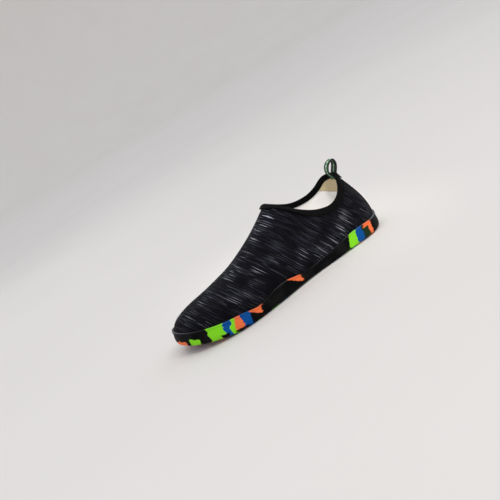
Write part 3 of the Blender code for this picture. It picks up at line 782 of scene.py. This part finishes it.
def streak_attribute(piece):
    """Store how much the pale streaks crowd, alike on both sides of the shoe."""
    places = corners(piece)
    folded = np.column_stack([places[:, 0], np.abs(places[:, 1]), places[:, 2]])
    crowd = np.zeros(len(places))
    for middle, reach, share in STREAK_AREAS:
        away = np.linalg.norm(folded - np.array(middle), axis=1)
        crowd = np.maximum(crowd, share * np.exp(-((away / reach) ** 2)))
    write_attribute(piece, "streaks", np.clip(crowd, 0.0, 1.0))


def tape_attributes(piece, path, closed):
    """Store how far along a path each corner is, and how far across it."""
    places = corners(piece)
    points = np.array(path)
    ends = np.roll(points, -1, axis=0) if closed else points[1:]
    starts = points if closed else points[:-1]
    lengths = np.linalg.norm(ends - starts, axis=1)
    before = np.concatenate([[0.0], np.cumsum(lengths)[:-1]])
    best = np.full(len(places), 1e9)
    along = np.zeros(len(places))
    across = np.zeros(len(places))
    for index in range(len(starts)):
        step = ends[index] - starts[index]
        share = np.clip((places - starts[index]) @ step / (step @ step), 0.0, 1.0)
        nearest = starts[index] + share[:, None] * step
        away = np.linalg.norm(places - nearest, axis=1)
        closer = away < best
        best[closer] = away[closer]
        along[closer] = before[index] + share[closer] * lengths[index]
        across[closer] = away[closer]
    write_attribute(piece, "along", along)
    write_attribute(piece, "across", across)


def near_angle(places, angle, reach):
    """Choose the places within a reach of an angle round the collar's middle."""
    off = places[:, :2] - COLLAR_MIDDLE
    turned = np.arctan2(off[:, 1], off[:, 0]) - angle
    return np.abs((turned + math.pi) % (2 * math.pi) - math.pi) < reach


def smooth_ring(points):
    """Smooth a closed row of points."""
    for repeat in range(3):
        before, after = np.roll(points, 1, axis=0), np.roll(points, -1, axis=0)
        points = (before + points * 2 + after) / 4
    return points


def collar_path(piece):
    """Return points round the collar's edge, from the binding's highest corners."""
    places = corners(piece)
    path = []
    for step in range(COLLAR_STEPS):
        angle = -math.pi + 2 * math.pi * step / COLLAR_STEPS
        group = places[near_angle(places, angle, 0.15)]
        high = group[:, 2] > group[:, 2].max() - 0.0025
        path.append(group[high].mean(axis=0))
    return smooth_ring(np.array(path))


def model_stitch(length, width):
    """Model one stitch that lies along X."""
    deselect()
    origin = (0.0, 0.0, 0.0)
    bpy.ops.mesh.primitive_uv_sphere_add(segments=8, ring_count=6, radius=0.5, location=origin)
    stitch = bpy.context.object
    bpy.ops.object.mode_set(mode="EDIT")
    bpy.ops.mesh.select_all(action="SELECT")
    bpy.ops.transform.resize(value=(length, width, width), center_override=origin)
    bpy.ops.object.mode_set(mode="OBJECT")
    bpy.ops.object.shade_smooth()
    return stitch


def lay_stitches(name, stitch, spots):
    """Copy one stitch to each spot (middle, direction, outward) and join the copies."""
    copies = []
    for middle, direction, outward in spots:
        copy = stitch.copy()
        copy.data = stitch.data.copy()
        bpy.context.scene.collection.objects.link(copy)
        along = Vector(direction).normalized()
        sideways = Vector(outward).cross(along).normalized()
        upward = along.cross(sideways)
        matrix = Matrix((along, sideways, upward)).transposed().to_4x4()
        matrix.translation = Vector(middle)
        copy.data.transform(matrix)
        copies.append(copy)
    activate(copies[0])
    for copy in copies:
        copy.select_set(True)
    bpy.ops.object.join()
    row = bpy.context.object
    row.name = name
    row.data.name = name
    bpy.data.objects.remove(stitch)
    return row


def surface_tree(piece):
    """Return a search tree over a piece's faces."""
    places = [vertex.co for vertex in piece.data.vertices]
    return BVHTree.FromPolygons(places, [face.vertices[:] for face in piece.data.polygons])


def binding_edge(piece, path):
    """Return points along the outer lower edge of the collar's binding."""
    places = corners(piece)
    edge = []
    for point in path:
        off = point[:2] - COLLAR_MIDDLE
        angle = math.atan2(off[1], off[0])
        outward = np.array([math.cos(angle), math.sin(angle)])
        near = near_angle(places, angle, 0.09)
        beyond = (places[:, :2] - point[:2]) @ outward
        group = places[near & (beyond > np.percentile(beyond[near], 55))]
        edge.append(group[np.argmin(group[:, 2])])
    return smooth_ring(np.array(edge))


def even_steps(points, step, closed):
    """Return points at even steps along a path."""
    if closed:
        points = np.vstack([points, points[:1]])
    gaps = np.linalg.norm(np.diff(points, axis=0), axis=1)
    lengths = np.concatenate([[0.0], np.cumsum(gaps)])
    count = int(lengths[-1] / step)
    wanted = np.linspace(0.0, lengths[-1], count, endpoint=not closed)
    columns = [np.interp(wanted, lengths, points[:, axis]) for axis in range(3)]
    return np.column_stack(columns)


def finish_piece(piece, node, slot_name, *materials):
    """Give a piece its materials, hide the CAD node that it stands in for and let it ride on the
    body.
    """
    for material in materials:
        piece.data.materials.append(material)
    if node:
        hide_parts(node)
    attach(piece, "root")


def colour_setting(name, description, default):
    """Return a colour that the panel shows."""
    return FloatVectorProperty(
        name=name, description=description, subtype="COLOR", size=3, default=default
    )


class ShoeSettings(bpy.types.PropertyGroup):
    """Colours and sizes that a user may change."""

    knit_colour: colour_setting("Knit", "Dark ground of the knit", (0.0025, 0.0025, 0.004))
    knit_pale: colour_setting("Knit, lighter", "Lighter patches of the knit", (0.005, 0.005, 0.008))
    streak_faint: colour_setting("Faint streak", "Commonest streaks", (0.042, 0.046, 0.068))
    streak_grey: colour_setting("Grey streak", "Middling streaks", (0.14, 0.145, 0.18))
    streak_white: colour_setting("White streak", "Brightest streaks", (0.62, 0.63, 0.68))
    lining_colour: colour_setting("Lining", "Pale lining of the upper", (0.88, 0.86, 0.83))
    pad_colour: colour_setting("Heel pad", "Tan pad inside the heel", (0.58, 0.47, 0.28))
    insole_colour: colour_setting("Insole", "Foam under the foot", (0.05, 0.05, 0.055))
    rubber_colour: colour_setting("Rubber", "Black rubber of the sole", (0.0024, 0.0024, 0.0028))
    rubber_dark: colour_setting("Dark patch", "Dark green patches of the sole", (0.012, 0.03, 0.012))
    camo_orange: colour_setting("Orange", "Orange patches of the sole", (0.85, 0.17, 0.055))
    camo_yellow: colour_setting("Yellow", "Yellow patches of the sole", (0.72, 0.34, 0.03))
    camo_green: colour_setting("Green", "Green patches of the sole", (0.22, 0.68, 0.02))
    camo_blue: colour_setting("Blue", "Blue patches of the sole", (0.004, 0.075, 0.30))
    # Painted highlight colour for the rubber's top edge, where light catches it.
    lip_highlight_colour: colour_setting("Lip", "Highlighted pale edge of the rubber", (0.22, 0.23, 0.26))
    binding_colour: colour_setting("Binding", "Elastic tape of the collar", (0.0018, 0.0018, 0.002))
    webbing_black: colour_setting("Webbing", "Black threads of the loop", (0.01, 0.01, 0.011))
    webbing_green: colour_setting("Webbing stripe", "Green threads of the loop", (0.15, 0.38, 0.18))
    webbing_tick: colour_setting("Webbing tick", "Pale ticks on the stripe", (0.78, 0.86, 0.78))
    stitch_length: FloatProperty(
        name="Stitch",
        description="Length of one stitch",
        subtype="DISTANCE",
        default=0.0024,
        min=0.001,
        max=0.005,
    )


class WATERSHOE_OT_outsole(bpy.types.Operator):
    """Build the rubber sole's looks"""

    bl_idname = "watershoe.outsole"
    bl_label = "Sole"

    def execute(self, context):
        piece = skin_copy("outsole", "sole_skin", 38.0, 2)
        sole_attributes(piece)
        finish_piece(piece, "outsole", "sole_rubber", rubber_material())
        return {"FINISHED"}


class WATERSHOE_OT_insole(bpy.types.Operator):
    """Build the insole's looks"""

    bl_idname = "watershoe.insole"
    bl_label = "Insole"

    def execute(self, context):
        piece = skin_copy("insole", "insole_skin", 60.0, 1)
        finish_piece(piece, "insole", "insole_foam", foam_material())
        return {"FINISHED"}


class WATERSHOE_OT_upper(bpy.types.Operator):
    """Build the knit upper with its lining"""

    bl_idname = "watershoe.upper"
    bl_label = "Upper"

    def execute(self, context):
        piece = skin_copy("upper", "upper_skin", 50.0, 2)
        for polygon in piece.data.polygons:
            place = polygon.center
            along = min(max(place.x, CORE_ENDS[0]), CORE_ENDS[1])
            core = Vector((along, 0.0, CORE_HEIGHTS[0 if place.x > INSTEP else 1]))
            if (place - core).dot(polygon.normal) < 0:
                polygon.material_index = 1
        pucker(piece)
        streak_attribute(piece)
        finish_piece(piece, "upper", "upper_knit", knit_material(), lining_material())
        return {"FINISHED"}


class WATERSHOE_OT_binding(bpy.types.Operator):
    """Build the elastic collar tape"""

    bl_idname = "watershoe.binding"
    bl_label = "Collar binding"

    def execute(self, context):
        piece = skin_copy("collar_binding", "binding_skin", 70.0, 2)
        path = collar_path(piece)
        tape_attributes(piece, path, True)
        material = tape_material("elastic_black", look().binding_colour, 0.0011, 0.0008)
        finish_piece(piece, "collar_binding", "binding_elastic", material)
        edge = binding_edge(piece, path)
        length = look().stitch_length
        row = even_steps(edge + (path - edge) * BINDING_ROW, length * STITCH_PITCH, True)
        tree = surface_tree(piece)
        spots = []
        for index, point in enumerate(row):
            spot, outward = tree.find_nearest(Vector(point))[:2]
            direction = row[(index + 1) % len(row)] - row[index - 1]
            spots.append((spot + outward * STITCH_LIFT, direction, outward))
        stitches = lay_stitches("binding_stitches", model_stitch(length, STITCH_WIDTH), spots)
        finish_piece(stitches, None, "binding_elastic", thread_material())
        return {"FINISHED"}


class WATERSHOE_OT_strip(bpy.types.Operator):
    """Build the tape over the back seam"""

    bl_idname = "watershoe.strip"
    bl_label = "Heel strip"

    def execute(self, context):
        piece = skin_copy("heel_strip", "strip_skin", 50.0, 2)
        places = corners(piece)
        write_attribute(piece, "along", places[:, 2])
        write_attribute(piece, "across", places[:, 1])
        material = tape_material("strip_black", look().binding_colour, 0.0012, 0.0009)
        finish_piece(piece, "heel_strip", "strip_tape", material)
        tree = surface_tree(piece)
        low, high = places[:, 2].min() + STRIP_END, places[:, 2].max() - STRIP_END
        length = look().stitch_length
        count = int((high - low) / (length * STITCH_PITCH))
        half_width = places[:, 1].max()
        spots = []
        for side in (-1.0, 1.0):
            for index in range(count):
                height = low + (high - low) * (index + 0.5) / count
                start = Vector((-0.2, side * (half_width * STRIP_ROW), height))
                spot, outward = tree.ray_cast(start, Vector((1.0, 0.0, 0.0)))[:2]
                if spot is not None:
                    upward = Vector((0.0, 0.0, 1.0)) - outward * outward.z
                    spots.append((spot + outward * STITCH_LIFT, upward, outward))
        if not spots:
            raise RuntimeError("no stitch of the heel strip meets the strip")
        stitches = lay_stitches("strip_stitches", model_stitch(length, STITCH_WIDTH), spots)
        finish_piece(stitches, None, "strip_tape", bpy.data.materials["thread_black"])
        return {"FINISHED"}


class WATERSHOE_OT_loop(bpy.types.Operator):
    """Build the webbing pull loop"""

    bl_idname = "watershoe.loop"
    bl_label = "Pull loop"

    def execute(self, context):
        piece = skin_copy("pull_loop", "loop_skin", 50.0, 2)
        places = corners(piece)
        top = places[:, 2].max()
        bow = places[places[:, 2] > top - LOOP_BOW, 0]
        middle = (bow.min() + bow.max()) / 2
        centre = top - LOOP_CENTRE
        angle = np.arctan2(places[:, 0] - middle, places[:, 2] - centre)
        below = centre - LOOP_LEGS - places[:, 2]
        legs = np.sign(places[:, 0] - middle) * (LOOP_LEG_START + below)
        along = np.where(below > 0, legs, angle * LOOP_RADIUS)
        write_attribute(piece, "along", along + 0.1)
        write_attribute(piece, "across", places[:, 1])
        finish_piece(piece, "pull_loop", "loop_webbing", webbing_material())
        return {"FINISHED"}


class WATERSHOE_OT_stage(bpy.types.Operator):
    """Build the floor, the lights and the camera"""

    bl_idname = "watershoe.stage"
    bl_label = "Stage"

    def execute(self, context):
        add_floor()
        add_lamps(context)
        add_camera(context)
        return {"FINISHED"}


def add_floor():
    """Build a round floor that curves up to a wall."""
    deselect()
    bpy.ops.mesh.primitive_circle_add(
        vertices=96, radius=9.0, fill_type="NGON", location=(0.0, 0.0, 0.0)
    )
    floor = bpy.context.object
    floor.name = "floor"
    bpy.ops.object.mode_set(mode="EDIT")
    bpy.ops.mesh.select_all(action="SELECT")
    bpy.ops.mesh.extrude_region_move(TRANSFORM_OT_translate={"value": (0.0, 0.0, 3.0)})
    bpy.ops.mesh.delete(type="ONLY_FACE")
    bpy.ops.object.mode_set(mode="OBJECT")
    work = bmesh.new()
    work.from_mesh(floor.data)
    rim = [edge for edge in work.edges if all(abs(v.co.z) < 1e-6 for v in edge.verts)]
    bmesh.ops.bevel(work, geom=rim, offset=2.6, segments=20, profile=0.5, affect="EDGES")
    bmesh.ops.recalc_face_normals(work, faces=work.faces)
    work.to_mesh(floor.data)
    work.free()
    activate(floor)
    bpy.ops.object.shade_smooth()
    material, tree, shader, place = new_material("floor_pale", 0.85)
    share = noise(tree, place, 3.0, 2.0)
    tone = blend_colours(tree, share, (0.74, 0.71, 0.67), (0.78, 0.75, 0.72))
    tree.links.new(tone, shader.inputs["Base Color"])
    put_bump(tree, shader, noise(tree, place, 400.0, 2.0), 0.0002, 0.15)
    floor.data.materials.append(material)


def add_lamps(context):
    """Light the stage with a pale sky and a few soft lamps."""
    world = bpy.data.worlds.new("pale")
    world.use_nodes = True
    sky = world.node_tree.nodes["Background"]
    sky.inputs["Color"].default_value = (0.93, 0.95, 1.0, 1.0)
    sky.inputs["Strength"].default_value = 0.84
    context.scene.world = world
    for name, place, aim, size, power, spread, tone in LAMPS:
        data = bpy.data.lights.new(name, "AREA")
        data.shape = "DISK"
        data.size = size
        data.energy = power
        data.color = tone
        data.spread = math.radians(spread)
        lamp = bpy.data.objects.new(name, data)
        context.scene.collection.objects.link(lamp)
        lamp.location = place
        direction = Vector(aim) - Vector(place)
        lamp.rotation_euler = direction.to_track_quat("-Z", "Y").to_euler()
    context.scene.view_settings.view_transform = "Standard"


def add_camera(context):
    """Place the camera at the photo's angle to the shoe, rolled as the shoe leans."""
    azimuth = math.radians(CAMERA_AZIMUTH)
    height = math.radians(CAMERA_HEIGHT)
    roll = math.radians(CAMERA_ROLL)
    level = math.cos(height)
    back = Vector((math.sin(azimuth) * level, -math.cos(azimuth) * level, math.sin(height)))
    right = Vector((0.0, 0.0, 1.0)).cross(back).normalized()
    upward = back.cross(right)
    turned_right = right * math.cos(roll) - upward * math.sin(roll)
    turned_up = right * math.sin(roll) + upward * math.cos(roll)
    data = bpy.data.cameras.new("camera")
    camera = bpy.data.objects.new("camera", data)
    context.scene.collection.objects.link(camera)
    matrix = Matrix((turned_right, turned_up, back)).transposed().to_4x4()
    matrix.translation = Vector(CAMERA_AIM) + back * CAMERA_DISTANCE
    camera.matrix_world = matrix
    data.sensor_width = SENSOR
    data.lens = PIXELS_PER_METRE * CAMERA_DISTANCE * SENSOR / PICTURE
    data.shift_x = 0.5 - SHOWN_AT[0] / PICTURE
    data.shift_y = SHOWN_AT[1] / PICTURE - 0.5
    data.clip_start = 0.05
    data.clip_end = 20.0
    context.scene.camera = camera


OPERATORS = (
    WATERSHOE_OT_outsole,
    WATERSHOE_OT_insole,
    WATERSHOE_OT_upper,
    WATERSHOE_OT_binding,
    WATERSHOE_OT_strip,
    WATERSHOE_OT_loop,
    WATERSHOE_OT_stage,
)


class WATERSHOE_PT_panel(bpy.types.Panel):
    """Water shoe panel in the sidebar"""

    bl_idname = "WATERSHOE_PT_panel"
    bl_label = "Water Shoe"
    bl_space_type = "VIEW_3D"
    bl_region_type = "UI"
    bl_category = "Water Shoe"

    def draw(self, context):
        for operator in OPERATORS:
            self.layout.operator(operator.bl_idname)
        for name in ShoeSettings.__annotations__:
            self.layout.prop(context.scene.water_shoe, name)


CLASSES = (ShoeSettings, *OPERATORS, WATERSHOE_PT_panel)


def register():
    """Register the add-on's classes."""
    for item in CLASSES:
        bpy.utils.register_class(item)
    bpy.types.Scene.water_shoe = PointerProperty(type=ShoeSettings)


def unregister():
    """Remove the add-on's classes."""
    del bpy.types.Scene.water_shoe
    for item in reversed(CLASSES):
        bpy.utils.unregister_class(item)


def main():
    """Build everything."""
    register()
    make_streak_group()
    make_knit_group()
    make_rib_group()
    make_grain_group()
    make_patch_group()
    bpy.ops.watershoe.outsole()
    bpy.ops.watershoe.insole()
    bpy.ops.watershoe.upper()
    bpy.ops.watershoe.binding()
    bpy.ops.watershoe.strip()
    bpy.ops.watershoe.loop()
    bpy.ops.watershoe.stage()


if __name__ == "__main__":
    main()
